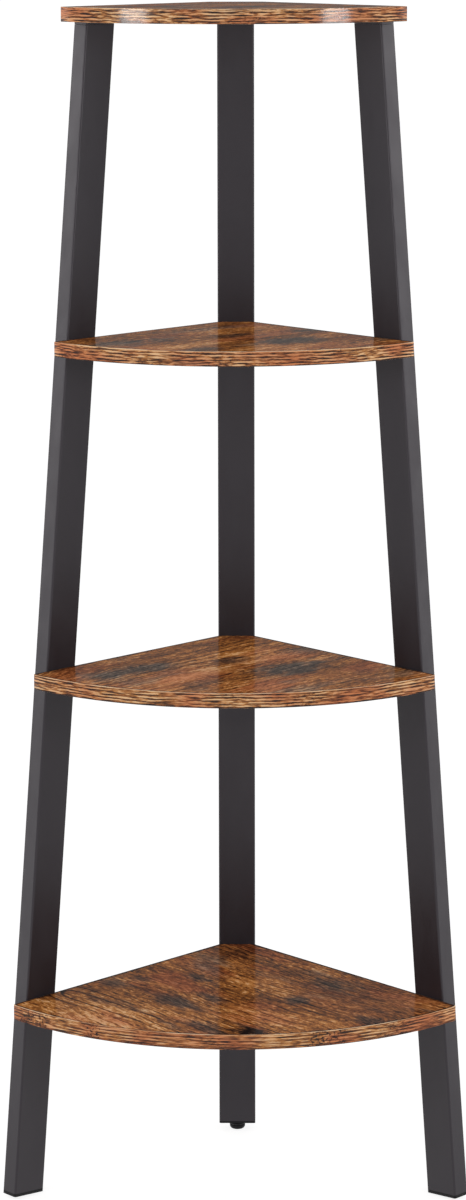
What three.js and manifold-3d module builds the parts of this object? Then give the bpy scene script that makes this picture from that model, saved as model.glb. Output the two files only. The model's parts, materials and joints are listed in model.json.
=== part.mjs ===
// Corner shelf unit: four quarter-round boards on three steel tube legs.
// Millimetres, +Z up, +Y towards the corner of the room, +X to the right.
// The front legs lean in the planes of the two walls, and each leg is two tubes joined at the middle shelf.
import * as THREE from "three";
import { mergeVertices } from "three/addons/utils/BufferGeometryUtils.js";
import Module from "manifold-3d";

const wasm = await Module();
wasm.setup();

// Leg tube
const tubeWidth = 40;
const tubeDepth = 20;
const tubeWall = 1.2;
const tubeCornerRadius = 2;

// Front legs: the reach runs along the wall from the corner to the leg's outer face, on the floor line
const legReach = 348.5;
const legLeanDegrees = 5.14;

// Shelf levels, as heights of the boards' top faces
const bottomShelfTop = 213;
const shelfSpacing = 347.5;

// Boards
const boardThickness = 15.6;
const boardOverhang = 20;
const boardTipRadius = 3;
const bandThickness = 1;
const bandJointGap = 0.2;
const glueLine = 0.08;

// Clearance between pieces that are pressed together, and the overrun of every cut
const seatGap = 0.2;
const cutOverrun = 1;

// Sleeve that joins the two tubes of a leg, and the seam's drop below the middle shelf
const sleeveClearance = 0.3;
const sleeveWall = 1.5;
const sleeveCornerRadius = 2;
const sleeveLength = 110;
const seamDrop = 2;

// Plate welded on the top of a leg, and the key window below it
const topPlateThickness = 3;
const keyWindowWidth = 12;
const keyWindowLength = 30;
const keyWindowDrop = 8;

// End cap of a front leg
const capFlange = 3;
const capSkirtLength = 16;
const capSkirtWall = 1.6;
const capClearance = 0.3;

// Threaded plug and levelling foot of the back leg
const plugFlange = 2;
const plugLength = 20;
const plugHeightAboveFloor = 8.5;
const stemRadius = 4;
const stemClearance = 0.08;
const stemLength = 42;
const stemChamfer = 1;
const stemEmbedding = 5;
const padGap = 0.3;
const padFlangeRadius = 10.5;
const padFlangeHeight = 1.2;
const padFlangeTaper = 1.4;
const padNeckRadius = 8.2;
const padNeckHeight = 0.7;
const padBodyRadius = 8.6;
const padEdgeRadius = 3.6;

// Shelf bolts and the threaded inserts in the boards
const boltRadius = 3;
const boltTipChamfer = 0.6;
const boltHeadRadius = 6;
const boltHeadHeight = 3.3;
const boltHeadEdge = 1.2;
const boltKeyRadius = 2.3;
const boltKeyDepth = 2;
const shelfBoltReach = 15;
const topBoltReach = 8.8;
const boltHoleRadius = 3.4;
const insertRadius = 5;
const insertFlangeRadius = 6;
const insertFlange = 0.8;
const insertBoreRadius = 3.2;
const insertClearance = 0.3;
const shelfInsertLength = 13;
const topInsertLength = 9.5;
const pocketEndClearance = 1.5;

// Smallest inner corner of a hollow section, as a share of its outer corner
const leastCornerShare = 0.25;

// Facets
const arcSegments = 48;
const tipSegments = 5;
const tubeCornerSegments = 4;
const roundSegments = 16;
const padSegments = 32;
const padEdgeSegments = 5;

// Materials
const powderCoat = { color: 0x38363a, roughness: 0.5, metalness: 0.2 };
const rusticBoard = { color: 0x8a5a38, roughness: 0.45, metalness: 0 };
const rusticBand = { color: 0x9c6540, roughness: 0.5, metalness: 0 };
const blackPlastic = { color: 0x141416, roughness: 0.55, metalness: 0 };
const blackSteel = { color: 0x232326, roughness: 0.4, metalness: 0.7 };
const zincSteel = { color: 0xb4b7bb, roughness: 0.35, metalness: 0.9 };

// Lean of a front leg, and the height at which its square cut end is centred when its inner edge touches the floor
const lean = THREE.MathUtils.degToRad(legLeanDegrees);
const leanRise = (tubeWidth / 2) * Math.sin(lean);
const legFootCentre = legReach - (tubeWidth / 2) * Math.cos(lean) - tubeWidth * Math.sin(lean) * Math.tan(lean);

// Places that the boards and legs share
const topShelfTop = bottomShelfTop + 3 * shelfSpacing;
const topShelfUnderside = topShelfTop - boardThickness;
const plateTop = topShelfUnderside - seatGap;
const plateBottom = plateTop - topPlateThickness;
const tubeTop = plateBottom - seatGap;
const middleShelfTop = bottomShelfTop + shelfSpacing;
const seamHeight = middleShelfTop - boardThickness - seamDrop;
const backLegBackY = -Math.SQRT2 * tubeDepth;
const backLegFrontY = backLegBackY - tubeDepth;

// Bolts end inside their inserts, and the pockets are a little deeper than either
const shelfBoltLength = tubeDepth + shelfBoltReach;
const topBoltLength = topPlateThickness + seatGap + topBoltReach;
const shelfPocketDepth = Math.max(shelfBoltReach, shelfInsertLength + seatGap) + pocketEndClearance;
const topPocketDepth = Math.max(topBoltReach, topInsertLength + seatGap) + pocketEndClearance;

// The three legs. Each stands in a frame whose Y axis points into the room from the leg's wall side.
const legs = [
  { side: "left", turn: THREE.MathUtils.degToRad(225), outward: 1, lean, origin: new THREE.Vector3() },
  { side: "right", turn: THREE.MathUtils.degToRad(135), outward: -1, lean, origin: new THREE.Vector3() },
  { side: "back", turn: THREE.MathUtils.degToRad(180), outward: 1, lean: 0, origin: new THREE.Vector3(0, backLegBackY, 0) },
];

// The four boards, from the floor up. The inset is the gap between a board's side edges and the walls.
const levels = ["bottom_shelf", "middle_shelf", "upper_shelf", "top_shelf"];
const boards = levels.map((name, level) => describeBoard(name, level));

function describeBoard(name, level) {
  const top = bottomShelfTop + level * shelfSpacing;
  const isTop = level === levels.length - 1;
  const inset = isTop ? 0 : tubeDepth + seatGap;
  const legHeight = isTop ? top - boardThickness : top;
  const reach = legOuterFace(legHeight) + boardOverhang;
  const flatY = isTop ? backLegBackY : backLegFrontY - seatGap;
  return { name, top, isTop, inset, radius: reach - inset, flatY };
}

// Distance along the wall from the corner to a front leg's outer face at a height
function legOuterFace(height) {
  return legReach - height * Math.tan(lean);
}

// Place on a leg's centre line at a height: how far it stands along the wall, and how far up the tube
function legCentre(leg, height) {
  if (leg.side === "back") {
    return { along: 0, up: height };
  }
  const up = (height - leanRise) / Math.cos(leg.lean);
  return { along: legFootCentre - up * Math.sin(leg.lean), up };
}

// Matrix of a leg's upright frame, and of its tube, which leans in that frame
function wallMatrix(leg) {
  return new THREE.Matrix4().makeRotationZ(leg.turn).setPosition(leg.origin);
}

function tubeMatrix(leg) {
  const foot = legCentre(leg, 0);
  const along = leg.side === "back" ? 0 : legFootCentre;
  const rise = leg.side === "back" ? foot.up : leanRise;
  const place = new THREE.Matrix4().makeRotationY(-leg.outward * leg.lean);
  place.setPosition(leg.outward * along, tubeDepth / 2, rise);
  return wallMatrix(leg).multiply(place);
}

// Booleans between three.js geometries
function toSolid(geometry) {
  const bare = geometry.clone();
  bare.deleteAttribute("normal");
  bare.deleteAttribute("uv");
  const welded = mergeVertices(bare);
  const mesh = new wasm.Mesh({
    numProp: 3,
    vertProperties: Float32Array.from(welded.attributes.position.array),
    triVerts: Uint32Array.from(welded.index.array),
  });
  return new wasm.Manifold(mesh);
}

function toGeometry(solid) {
  const mesh = solid.getMesh();
  const geometry = new THREE.BufferGeometry();
  geometry.setAttribute("position", new THREE.BufferAttribute(Float32Array.from(mesh.vertProperties), 3));
  geometry.setIndex(new THREE.BufferAttribute(Uint32Array.from(mesh.triVerts), 1));
  return geometry;
}

function cut(geometry, cutters) {
  const solid = cutters.reduce((left, cutter) => left.subtract(toSolid(cutter)), toSolid(geometry));
  return toGeometry(solid);
}

function join(first, second) {
  return toGeometry(toSolid(first).add(toSolid(second)));
}

// Plan point at a distance along the left wall and a distance along the right wall from the corner
function planPoint(alongLeft, alongRight) {
  return new THREE.Vector2((alongRight - alongLeft) / Math.SQRT2, -(alongLeft + alongRight) / Math.SQRT2);
}

function arcPoints(centre, radius, start, end, segments) {
  const points = [];
  for (let i = 0; i <= segments; i += 1) {
    const angle = start + ((end - start) * i) / segments;
    points.push(new THREE.Vector2(centre.x + radius * Math.cos(angle), centre.y + radius * Math.sin(angle)));
  }
  return points;
}

// Front edge of a board from the left tip to the right tip, moved inwards by a margin
function frontEdge(board, margin) {
  const centre = planPoint(board.inset, board.inset);
  const tipDistance = board.radius - boardTipRadius;
  const tipAlong = Math.sqrt(tipDistance ** 2 - boardTipRadius ** 2);
  const tipAngle = Math.atan2(boardTipRadius, tipAlong);
  const leftTip = planPoint(board.inset + tipAlong, board.inset + boardTipRadius);
  const rightTip = planPoint(board.inset + boardTipRadius, board.inset + tipAlong);
  const [toLeftWall, toLeft, toRight, toRightWall] = [135, 225, 315, 405].map(THREE.MathUtils.degToRad);
  const left = arcPoints(leftTip, boardTipRadius - margin, toLeftWall, toLeft + tipAngle, tipSegments);
  const front = arcPoints(centre, board.radius - margin, toLeft + tipAngle, toRight - tipAngle, arcSegments);
  const right = arcPoints(rightTip, boardTipRadius - margin, toRight - tipAngle, toRightWall, tipSegments);
  return { points: [...left, ...front.slice(1), ...right.slice(1)], tipAlong };
}

// Corner of a board's back flat, on a line parallel to the wall, for a flat at y
function flatCorner(board, margin, y, side) {
  const near = board.inset + margin;
  const far = -y * Math.SQRT2 - near;
  return side === "left" ? planPoint(far, near) : planPoint(near, far);
}

function extrudePlan(points, bottom, height) {
  const geometry = new THREE.ExtrudeGeometry(new THREE.Shape(points), { depth: height, bevelEnabled: false });
  return geometry.translate(0, 0, bottom);
}

// Board core, inside its edge bands
function boardCore(board) {
  const margin = bandThickness + glueLine;
  const flatY = board.isTop ? board.flatY - margin : board.flatY;
  const edge = frontEdge(board, margin);
  const points = [
    flatCorner(board, margin, flatY, "left"),
    ...edge.points,
    flatCorner(board, margin, flatY, "right"),
  ];
  return extrudePlan(points, board.top - boardThickness, boardThickness);
}

function frontBand(board) {
  const outer = frontEdge(board, 0).points;
  const inner = frontEdge(board, bandThickness).points;
  return extrudePlan([...outer, ...inner.reverse()], board.top - boardThickness, boardThickness);
}

function sideBand(board, side) {
  const end = board.inset + frontEdge(board, 0).tipAlong - bandJointGap;
  const outer = board.inset;
  const inner = board.inset + bandThickness;
  const tipOuter = side === "left" ? planPoint(end, outer) : planPoint(outer, end);
  const tipInner = side === "left" ? planPoint(end, inner) : planPoint(inner, end);
  const flatOuter = flatCorner(board, 0, board.flatY, side);
  const flatInner = flatCorner(board, bandThickness, board.flatY, side);
  const points = [flatOuter, tipOuter, tipInner, flatInner];
  if (side === "right") {
    points.reverse();
  }
  return extrudePlan(points, board.top - boardThickness, boardThickness);
}

function backBand(board) {
  const margin = bandThickness + bandJointGap;
  const inner = board.flatY - bandThickness;
  const points = [
    flatCorner(board, margin, board.flatY, "left"),
    flatCorner(board, margin, inner, "left"),
    flatCorner(board, margin, inner, "right"),
    flatCorner(board, margin, board.flatY, "right"),
  ];
  return extrudePlan(points, board.top - boardThickness, boardThickness);
}

// Cutter for a round hole along Y in a leg's frame, and for one along Z
function holeAlongY(radius, start, end, x, z) {
  const hole = new THREE.CylinderGeometry(radius, radius, end - start, roundSegments);
  return hole.translate(x, (start + end) / 2, z);
}

function holeAlongZ(radius, start, end, x, y) {
  const hole = new THREE.CylinderGeometry(radius, radius, end - start, roundSegments).rotateX(Math.PI / 2);
  return hole.translate(x, y, (start + end) / 2);
}

// Pockets for the threaded inserts: in the edges of the lower boards, and in the top board's underside
function insertPockets(board) {
  const flangeRadius = insertFlangeRadius + insertClearance;
  const bodyRadius = insertRadius + insertClearance;
  return legs.flatMap((leg) => {
    if (board.isTop) {
      const x = leg.outward * legCentre(leg, plateBottom).along;
      const underside = board.top - boardThickness;
      const flangeEnd = underside + insertFlange + insertClearance;
      return [
        holeAlongZ(flangeRadius, underside - cutOverrun, flangeEnd, x, tubeDepth / 2).applyMatrix4(wallMatrix(leg)),
        holeAlongZ(bodyRadius, underside, underside + topPocketDepth, x, tubeDepth / 2).applyMatrix4(wallMatrix(leg)),
      ];
    }
    const height = board.top - boardThickness / 2;
    const x = leg.outward * legCentre(leg, height).along;
    const edge = tubeDepth + seatGap;
    const flangeEnd = edge + insertFlange + insertClearance;
    return [
      holeAlongY(flangeRadius, edge - cutOverrun, flangeEnd, x, height).applyMatrix4(wallMatrix(leg)),
      holeAlongY(bodyRadius, edge, edge + shelfPocketDepth, x, height).applyMatrix4(wallMatrix(leg)),
    ];
  });
}

// Rounded rectangle as a list of points, and a straight bar or tube of that section
function roundedRectangle(width, depth, radius) {
  const x = width / 2 - radius;
  const y = depth / 2 - radius;
  const corners = [[x, y], [-x, y], [-x, -y], [x, -y]];
  return corners.flatMap(([cx, cy], quarter) => {
    const start = (quarter * Math.PI) / 2;
    return arcPoints(new THREE.Vector2(cx, cy), radius, start, start + Math.PI / 2, tubeCornerSegments);
  });
}

function bar(width, depth, radius, start, end) {
  const shape = new THREE.Shape(roundedRectangle(width, depth, radius));
  return new THREE.ExtrudeGeometry(shape, { depth: end - start, bevelEnabled: false }).translate(0, 0, start);
}

function hollowBar(width, depth, radius, wall, start, end) {
  const shape = new THREE.Shape(roundedRectangle(width, depth, radius));
  const innerRadius = Math.max(radius - wall, radius * leastCornerShare);
  shape.holes.push(new THREE.Path(roundedRectangle(width - 2 * wall, depth - 2 * wall, innerRadius)));
  return new THREE.ExtrudeGeometry(shape, { depth: end - start, bevelEnabled: false }).translate(0, 0, start);
}

function boltHoleThroughTube(leg, board) {
  const height = legCentre(leg, board.top - boardThickness / 2).up;
  return holeAlongY(boltHoleRadius, -tubeDepth, tubeDepth, 0, height);
}

// Level cut that ends a leaning tube under its top plate
function levelCut(leg) {
  const size = 2 * (tubeWidth + tubeDepth);
  const centre = legCentre(leg, tubeTop);
  const block = new THREE.BoxGeometry(size, size, size);
  block.translate(leg.outward * centre.along, tubeDepth / 2, tubeTop + size / 2);
  const placed = wallMatrix(leg).premultiply(tubeMatrix(leg).invert());
  return block.applyMatrix4(placed);
}

// Slot in the wall side of a tube, through which the key reaches the top bolt
function keyWindow(leg) {
  const half = keyWindowWidth / 2;
  const straight = keyWindowLength / 2 - half;
  const top = arcPoints(new THREE.Vector2(0, straight), half, 0, Math.PI, roundSegments / 2);
  const bottom = arcPoints(new THREE.Vector2(0, -straight), half, Math.PI, 2 * Math.PI, roundSegments / 2);
  const shape = new THREE.Shape([...top, ...bottom]);
  const depth = tubeWall + 2 * cutOverrun;
  const window = new THREE.ExtrudeGeometry(shape, { depth, bevelEnabled: false }).rotateX(Math.PI / 2);
  const centre = legCentre(leg, tubeTop).up - keyWindowDrop - keyWindowLength / 2;
  return window.translate(0, -tubeDepth / 2 + tubeWall + cutOverrun, centre);
}

// Bolt with its seat at the origin and its thread along +Y
function boltGeometry(length) {
  const headTop = boltHeadRadius - boltHeadEdge;
  const profile = [
    [0, -boltHeadHeight],
    [headTop, -boltHeadHeight],
    [boltHeadRadius, -boltHeadHeight + boltHeadEdge],
    [boltHeadRadius, 0],
    [boltRadius, 0],
    [boltRadius, length - boltTipChamfer],
    [boltRadius - boltTipChamfer, length],
    [0, length],
  ];
  const points = profile.map(([x, y]) => new THREE.Vector2(x, y));
  const key = new THREE.CylinderGeometry(boltKeyRadius, boltKeyRadius, 2 * boltKeyDepth, 6);
  return cut(new THREE.LatheGeometry(points, roundSegments), [key.translate(0, -boltHeadHeight, 0)]);
}

// Threaded insert with its flange at the origin and its body along +Y
function insertGeometry(length) {
  const profile = [
    [insertBoreRadius, 0],
    [insertFlangeRadius, 0],
    [insertFlangeRadius, insertFlange],
    [insertRadius, insertFlange],
    [insertRadius, length],
    [insertBoreRadius, length],
    [insertBoreRadius, 0],
  ];
  return new THREE.LatheGeometry(profile.map(([x, y]) => new THREE.Vector2(x, y)), roundSegments);
}

function capGeometry() {
  const innerWidth = tubeWidth - 2 * tubeWall - 2 * capClearance;
  const innerDepth = tubeDepth - 2 * tubeWall - 2 * capClearance;
  const flange = bar(tubeWidth, tubeDepth, tubeCornerRadius, 0, capFlange);
  const skirtStart = capFlange / 2;
  const skirtEnd = capFlange + capSkirtLength;
  const skirt = hollowBar(innerWidth, innerDepth, tubeCornerRadius, capSkirtWall, skirtStart, skirtEnd);
  return join(flange, skirt);
}

function plugGeometry() {
  const innerWidth = tubeWidth - 2 * tubeWall - 2 * capClearance;
  const innerDepth = tubeDepth - 2 * tubeWall - 2 * capClearance;
  const flange = bar(tubeWidth, tubeDepth, tubeCornerRadius, 0, plugFlange);
  const body = bar(innerWidth, innerDepth, tubeCornerRadius, plugFlange / 2, plugLength);
  const bore = holeAlongZ(stemRadius + stemClearance, -cutOverrun, plugLength + cutOverrun, 0, 0);
  return cut(join(flange, body), [bore]);
}

function stemGeometry() {
  const profile = [
    [0, 0],
    [stemRadius - stemChamfer, 0],
    [stemRadius, stemChamfer],
    [stemRadius, stemLength - stemChamfer],
    [stemRadius - stemChamfer, stemLength],
    [0, stemLength],
  ];
  const points = profile.map(([x, y]) => new THREE.Vector2(x, y));
  return new THREE.LatheGeometry(points, roundSegments).rotateX(Math.PI / 2);
}

// Glide pad of the levelling foot, from the floor up to its flange, with the stem's socket in its top
function padGeometry() {
  const height = plugHeightAboveFloor - padGap;
  const flangeBottom = height - padFlangeHeight;
  const taperBottom = flangeBottom - padFlangeTaper;
  const neckBottom = taperBottom - padNeckHeight;
  const socketRadius = stemRadius + stemClearance;
  const edgeRadius = Math.min(padEdgeRadius, neckBottom);
  const edgeCentre = new THREE.Vector2(padBodyRadius - edgeRadius, edgeRadius);
  const rim = arcPoints(edgeCentre, edgeRadius, -Math.PI / 2, 0, padEdgeSegments);
  const points = [
    new THREE.Vector2(0, 0),
    ...rim,
    new THREE.Vector2(padBodyRadius, neckBottom),
    new THREE.Vector2(padNeckRadius, neckBottom),
    new THREE.Vector2(padNeckRadius, taperBottom),
    new THREE.Vector2(padBodyRadius, taperBottom),
    new THREE.Vector2(padFlangeRadius, flangeBottom),
    new THREE.Vector2(padFlangeRadius, height),
    new THREE.Vector2(socketRadius, height),
    new THREE.Vector2(socketRadius, height - stemEmbedding),
    new THREE.Vector2(0, height - stemEmbedding),
  ];
  return new THREE.LatheGeometry(points, padSegments).rotateX(Math.PI / 2);
}

// Named meshes
function addPiece(group, name, geometry, finish) {
  const mesh = new THREE.Mesh(geometry, new THREE.MeshStandardMaterial(finish));
  mesh.name = name;
  group.add(mesh);
  return mesh;
}

function addFrame(group, matrix) {
  const frame = new THREE.Group();
  frame.applyMatrix4(matrix);
  group.add(frame);
  return frame;
}

function addBoard(group, board) {
  const pockets = insertPockets(board);
  addPiece(group, board.name, cut(boardCore(board), pockets), rusticBoard);
  addPiece(group, `${board.name}_front_edge_band`, frontBand(board), rusticBand);
  for (const side of ["left", "right"]) {
    const strip = sideBand(board, side);
    const geometry = board.isTop ? strip : cut(strip, pockets);
    addPiece(group, `${board.name}_${side}_edge_band`, geometry, rusticBand);
  }
  if (board.isTop) {
    addPiece(group, `${board.name}_back_edge_band`, backBand(board), rusticBand);
  }
}

// Two tubes, their sleeve, and the bolts and inserts of the three lower boards
function addLeg(group, leg) {
  const tubeFrame = addFrame(group, tubeMatrix(leg));
  const seam = legCentre(leg, seamHeight).up;
  const top = legCentre(leg, tubeTop).up;
  const tubeStart = leg.side === "back" ? plugHeightAboveFloor + plugFlange + seatGap : capFlange + seatGap;
  const [bottomShelf, middleShelf, upperShelf] = boards;

  const lower = hollowBar(tubeWidth, tubeDepth, tubeCornerRadius, tubeWall, tubeStart, seam - seatGap / 2);
  addPiece(tubeFrame, `${leg.side}_lower_leg`, cut(lower, [boltHoleThroughTube(leg, bottomShelf)]), powderCoat);

  const upper = hollowBar(tubeWidth, tubeDepth, tubeCornerRadius, tubeWall, seam + seatGap / 2, top + tubeWidth);
  const upperCuts = [boltHoleThroughTube(leg, middleShelf), boltHoleThroughTube(leg, upperShelf)];
  upperCuts.push(levelCut(leg), keyWindow(leg));
  addPiece(tubeFrame, `${leg.side}_upper_leg`, cut(upper, upperCuts), powderCoat);

  const sleeveWidth = tubeWidth - 2 * tubeWall - 2 * sleeveClearance;
  const sleeveDepth = tubeDepth - 2 * tubeWall - 2 * sleeveClearance;
  const sleeveStart = seam - sleeveLength / 2;
  const sleeveEnd = seam + sleeveLength / 2;
  const sleeve = hollowBar(sleeveWidth, sleeveDepth, sleeveCornerRadius, sleeveWall, sleeveStart, sleeveEnd);
  addPiece(tubeFrame, `${leg.side}_leg_sleeve`, cut(sleeve, [boltHoleThroughTube(leg, middleShelf)]), blackSteel);

  for (const board of [bottomShelf, middleShelf, upperShelf]) {
    const height = legCentre(leg, board.top - boardThickness / 2).up;
    const bolt = addPiece(tubeFrame, `${board.name}_${leg.side}_bolt`, boltGeometry(shelfBoltLength), blackSteel);
    bolt.position.set(0, -tubeDepth / 2, height);
    const insert = insertGeometry(shelfInsertLength);
    const nut = addPiece(tubeFrame, `${board.name}_${leg.side}_insert`, insert, zincSteel);
    nut.position.set(0, tubeDepth / 2 + seatGap, height);
  }
}

// Top plate, and the bolt that goes up through it into the insert in the top board
function addLegTop(group, leg) {
  const wallFrame = addFrame(group, wallMatrix(leg));
  const along = leg.outward * legCentre(leg, plateBottom).along;
  const plateWidth = tubeWidth / Math.cos(leg.lean);
  const plate = bar(plateWidth, tubeDepth, tubeCornerRadius, plateBottom, plateTop);
  const hole = holeAlongZ(boltHoleRadius, plateBottom - cutOverrun, plateTop + cutOverrun, 0, 0);
  const plateMesh = addPiece(wallFrame, `${leg.side}_leg_top_plate`, cut(plate, [hole]), powderCoat);
  plateMesh.position.set(along, tubeDepth / 2, 0);

  const boltShape = boltGeometry(topBoltLength).rotateX(Math.PI / 2);
  const bolt = addPiece(wallFrame, `top_shelf_${leg.side}_bolt`, boltShape, blackSteel);
  bolt.position.set(along, tubeDepth / 2, plateBottom);

  const insertShape = insertGeometry(topInsertLength).rotateX(Math.PI / 2);
  const insert = addPiece(wallFrame, `top_shelf_${leg.side}_insert`, insertShape, zincSteel);
  insert.position.set(along, tubeDepth / 2, topShelfUnderside);
}

function addLegEnd(group, leg) {
  const tubeFrame = addFrame(group, tubeMatrix(leg));
  if (leg.side !== "back") {
    addPiece(tubeFrame, `${leg.side}_leg_end_cap`, capGeometry(), blackPlastic);
    return;
  }
  const plug = addPiece(tubeFrame, "back_leg_threaded_plug", plugGeometry(), blackPlastic);
  plug.position.z = plugHeightAboveFloor;
  const stem = addPiece(tubeFrame, "levelling_foot_stem", stemGeometry(), zincSteel);
  stem.position.z = plugHeightAboveFloor - padGap - stemEmbedding + seatGap;
  addPiece(tubeFrame, "levelling_foot_pad", padGeometry(), blackPlastic);
}

const unit = new THREE.Group();
boards.forEach((board) => addBoard(unit, board));
legs.forEach((leg) => addLeg(unit, leg));
legs.forEach((leg) => addLegTop(unit, leg));
legs.forEach((leg) => addLegEnd(unit, leg));

// The origin goes to the middle of the floor area under the unit
const bounds = new THREE.Box3().setFromObject(unit, true);
unit.position.y = -(bounds.min.y + bounds.max.y) / 2;

export default unit;
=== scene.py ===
import json
import math
from functools import partialmethod
from types import SimpleNamespace

import bmesh
import bpy
from mathutils import Matrix, Vector


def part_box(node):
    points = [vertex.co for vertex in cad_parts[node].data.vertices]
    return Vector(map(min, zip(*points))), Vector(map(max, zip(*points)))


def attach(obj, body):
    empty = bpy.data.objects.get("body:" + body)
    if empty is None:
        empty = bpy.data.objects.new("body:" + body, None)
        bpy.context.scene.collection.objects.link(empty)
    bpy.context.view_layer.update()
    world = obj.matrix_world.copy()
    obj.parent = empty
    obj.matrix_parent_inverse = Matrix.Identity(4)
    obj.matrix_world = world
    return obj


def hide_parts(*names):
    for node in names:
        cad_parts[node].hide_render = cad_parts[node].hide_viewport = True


# Looks of a corner shelf unit: wood-print boards with edge bands on black steel tube legs.
# Metres, +Z up, +Y towards the corner of the room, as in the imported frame.

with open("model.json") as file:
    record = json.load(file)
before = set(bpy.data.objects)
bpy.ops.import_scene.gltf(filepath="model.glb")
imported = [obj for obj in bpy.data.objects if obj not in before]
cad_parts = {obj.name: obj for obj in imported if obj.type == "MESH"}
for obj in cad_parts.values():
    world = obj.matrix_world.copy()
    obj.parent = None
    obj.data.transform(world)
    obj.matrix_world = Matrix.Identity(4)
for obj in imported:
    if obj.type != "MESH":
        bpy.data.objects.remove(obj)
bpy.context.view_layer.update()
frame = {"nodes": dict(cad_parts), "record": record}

MM = 0.001
QUARTER = math.pi / 2
FRONT_SIDES = ("left", "right")
SIDES = (*FRONT_SIDES, "back")
BACK = Vector((0, 1, 0))
UP = Vector((0, 0, 1))
UNIT = "shelf_unit"

# Leg tubes
TUBE_WIDTH = 40 * MM
TUBE_DEPTH = 20 * MM
TUBE_WALL = 1.2 * MM
TUBE_CORNER = 2 * MM
LEG_REACH = 348.5 * MM
LEG_LEAN = math.radians(5.14)
SEAM_DROP = 2 * MM
SEAT_GAP = 0.2 * MM
PLATE_THICKNESS = 3 * MM
CAP_FLANGE = 3 * MM
PLUG_FLANGE = 2 * MM
KEY_WINDOW = Vector((12, 30)) * MM
KEY_WINDOW_DROP = 8 * MM
BOLT_HOLE = 3.4 * MM
CAP_SKIRT = 16 * MM
CAP_SKIRT_WALL = 1.6 * MM
CAP_SKIRT_GAP = 0.3 * MM
CAP_ROUNDING = 0.5 * MM
PLUG_CLEARANCE = 0.08 * MM

# Boards and edge bands
BAND = 1 * MM
GLUE_LINE = 0.08 * MM
BAND_JOINT = 0.2 * MM
TIP_RADIUS = 3 * MM
BAND_ROUNDING = 0.35 * MM
BOARD_THICKNESS = 15.6 * MM
BOARD_ROUNDING = 0.3 * MM
INSERT_FLANGE = 0.8 * MM
INSERT_FLANGE_HOLE = 6.3 * MM
INSERT_HOLE = 5.3 * MM
SHELF_POCKET = 16.5 * MM
TOP_POCKET = 11.2 * MM

# Fasteners and levelling foot
BOLT_SHANK = 3 * MM
BOLT_HEAD = 6 * MM
BOLT_HEAD_HEIGHT = 3.3 * MM
BOLT_KEY = 2.3 * MM
BOLT_KEY_DEPTH = 2 * MM
SHELF_BOLT = 35 * MM
TOP_BOLT = 12 * MM
THREAD_RADIUS = 4 * MM
THREAD_ROOT = 3.35 * MM
THREAD_PITCH = 1.25 * MM
THREAD_CREST_SHARE = 0.125
THREAD_SPARE_TURNS = 2
PAD_FLANGE = 1.2 * MM
PAD_TAPER = 1.4 * MM
PAD_NECK = 0.7 * MM
PAD_NECK_RADIUS = 8.2 * MM
PAD_BODY_RADIUS = 8.6 * MM
PAD_EDGE = 3.6 * MM
STEM_SINK = 5 * MM
OVERRUN = 1 * MM

# How finely the pieces are modelled
ARC_STEPS = 128
TIP_STEPS = 8
TUBE_CORNER_STEPS = 6
PAD_EDGE_STEPS = 6
THREAD_STEPS = 24
ROUNDING_STEPS = 2
MOULDED_STEPS = 3
HOLE_SIDES = 24
BORE_SIDES = 48
KEY_SIDES = 6
BOLT_SIDES = 32
PAD_SIDES = 64
MERGE = 0.01 * MM
THREAD_MERGE = 0.001 * MM
SMOOTH_BELOW = math.radians(35)
ROUND_ABOVE = math.radians(60)
FLAT_FACE_WEIGHT = 100
NEARLY_LEVEL = 0.9
NEARLY_UPRIGHT = 0.99
CORE_SLOPE = 0.2
WINDOW_END_SHARE = 0.98

# Radius and height of a bolt head's outline, as shares of the head's radius and height
BOLT_HEAD_SHARES = [(0.72, -1), (0.93, -0.82), (1, -0.5), (1, -0.08), (0.98, 0)]
BOLT_POINT_SHARES = (0.8, 0.2)

# Print of the boards: how far its figure drifts, and how strong each part of it is
SLOW_DRIFT = 50 * MM
QUICK_DRIFT = 8 * MM
UNDERSIDE_DRIFT = 1.3
BROAD = 0.7
CLOUDS = 0.65
FIBRES = 2.3
LONG_FIBRES = 0.38
GROWTH_LINES = 95
GROWTH_LINE = (0.0, 0.14, -0.36, 0.0)
RAGGEDNESS = 4.4
MARK_RIM = (1.4, 0.1)
ARCH_WAVE = 3 * MM
ARCH_SPACING = 12 * MM
ARCH_SLIMNESS = 0.55
ARCH_LINE = (0.17, 0.03)
ARCH_REACH = (150 * MM, 34 * MM, 1)
ARCH_FADE = (1.0, 0.6)
ARCH_DEPTH = 0.46
EDGE_SHADE = 0.5
EDGE_REACH = 5 * MM
# Painted shade in the groove behind the front band
RIM_SHADE = 0.4
RIM_REACH = 4 * MM
PRINT_RELIEF = 0.1 * MM
PRINT_BUMP = 0.15
BOARD_ROUGHNESS = (0.35, 0.65, 0.55, 0.42)
BOARD_GLOSS = {"Specular_IOR_Level": 0.0, "Coat_Weight": 0.115, "Coat_Roughness": 0.12, "Coat_IOR": 1.5}

# Print of the edge bands
BAND_SWAY = 2.2 * MM
BAND_LINE = 3.3 * MM
BAND_LINES = 0.08
LONG_STREAKS = 0.33
BAND_TONES = 0.5
BAND_MIDDLE = 0.61
BAND_CLUSTERS = 2.0
# Painted shade along the foot of each front band
BAND_FOOT_SHADE = 0.5
BAND_FOOT_SHADE_RISE = 2 * MM
# Paler print along the top edge of each front band: partly worn print, partly painted highlight of the
# rounded edge
BAND_TOP_WEAR_AND_HIGHLIGHT = 0.45
BAND_TOP_WEAR_AND_HIGHLIGHT_REACH = 1.1 * MM
BAND_ROUGHNESS = (0.35, 0.65, 0.55, 0.4)
BAND_GLOSS = {"Specular_IOR_Level": 0.0, "Coat_Weight": 0.5, "Coat_Roughness": 0.14, "Coat_IOR": 1.5}
SIDE_BAND_CONTRAST = 2.6
SIDE_BAND_DRIFT = 0.37
SIDE_BAND_LOW = -1.0

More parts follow.
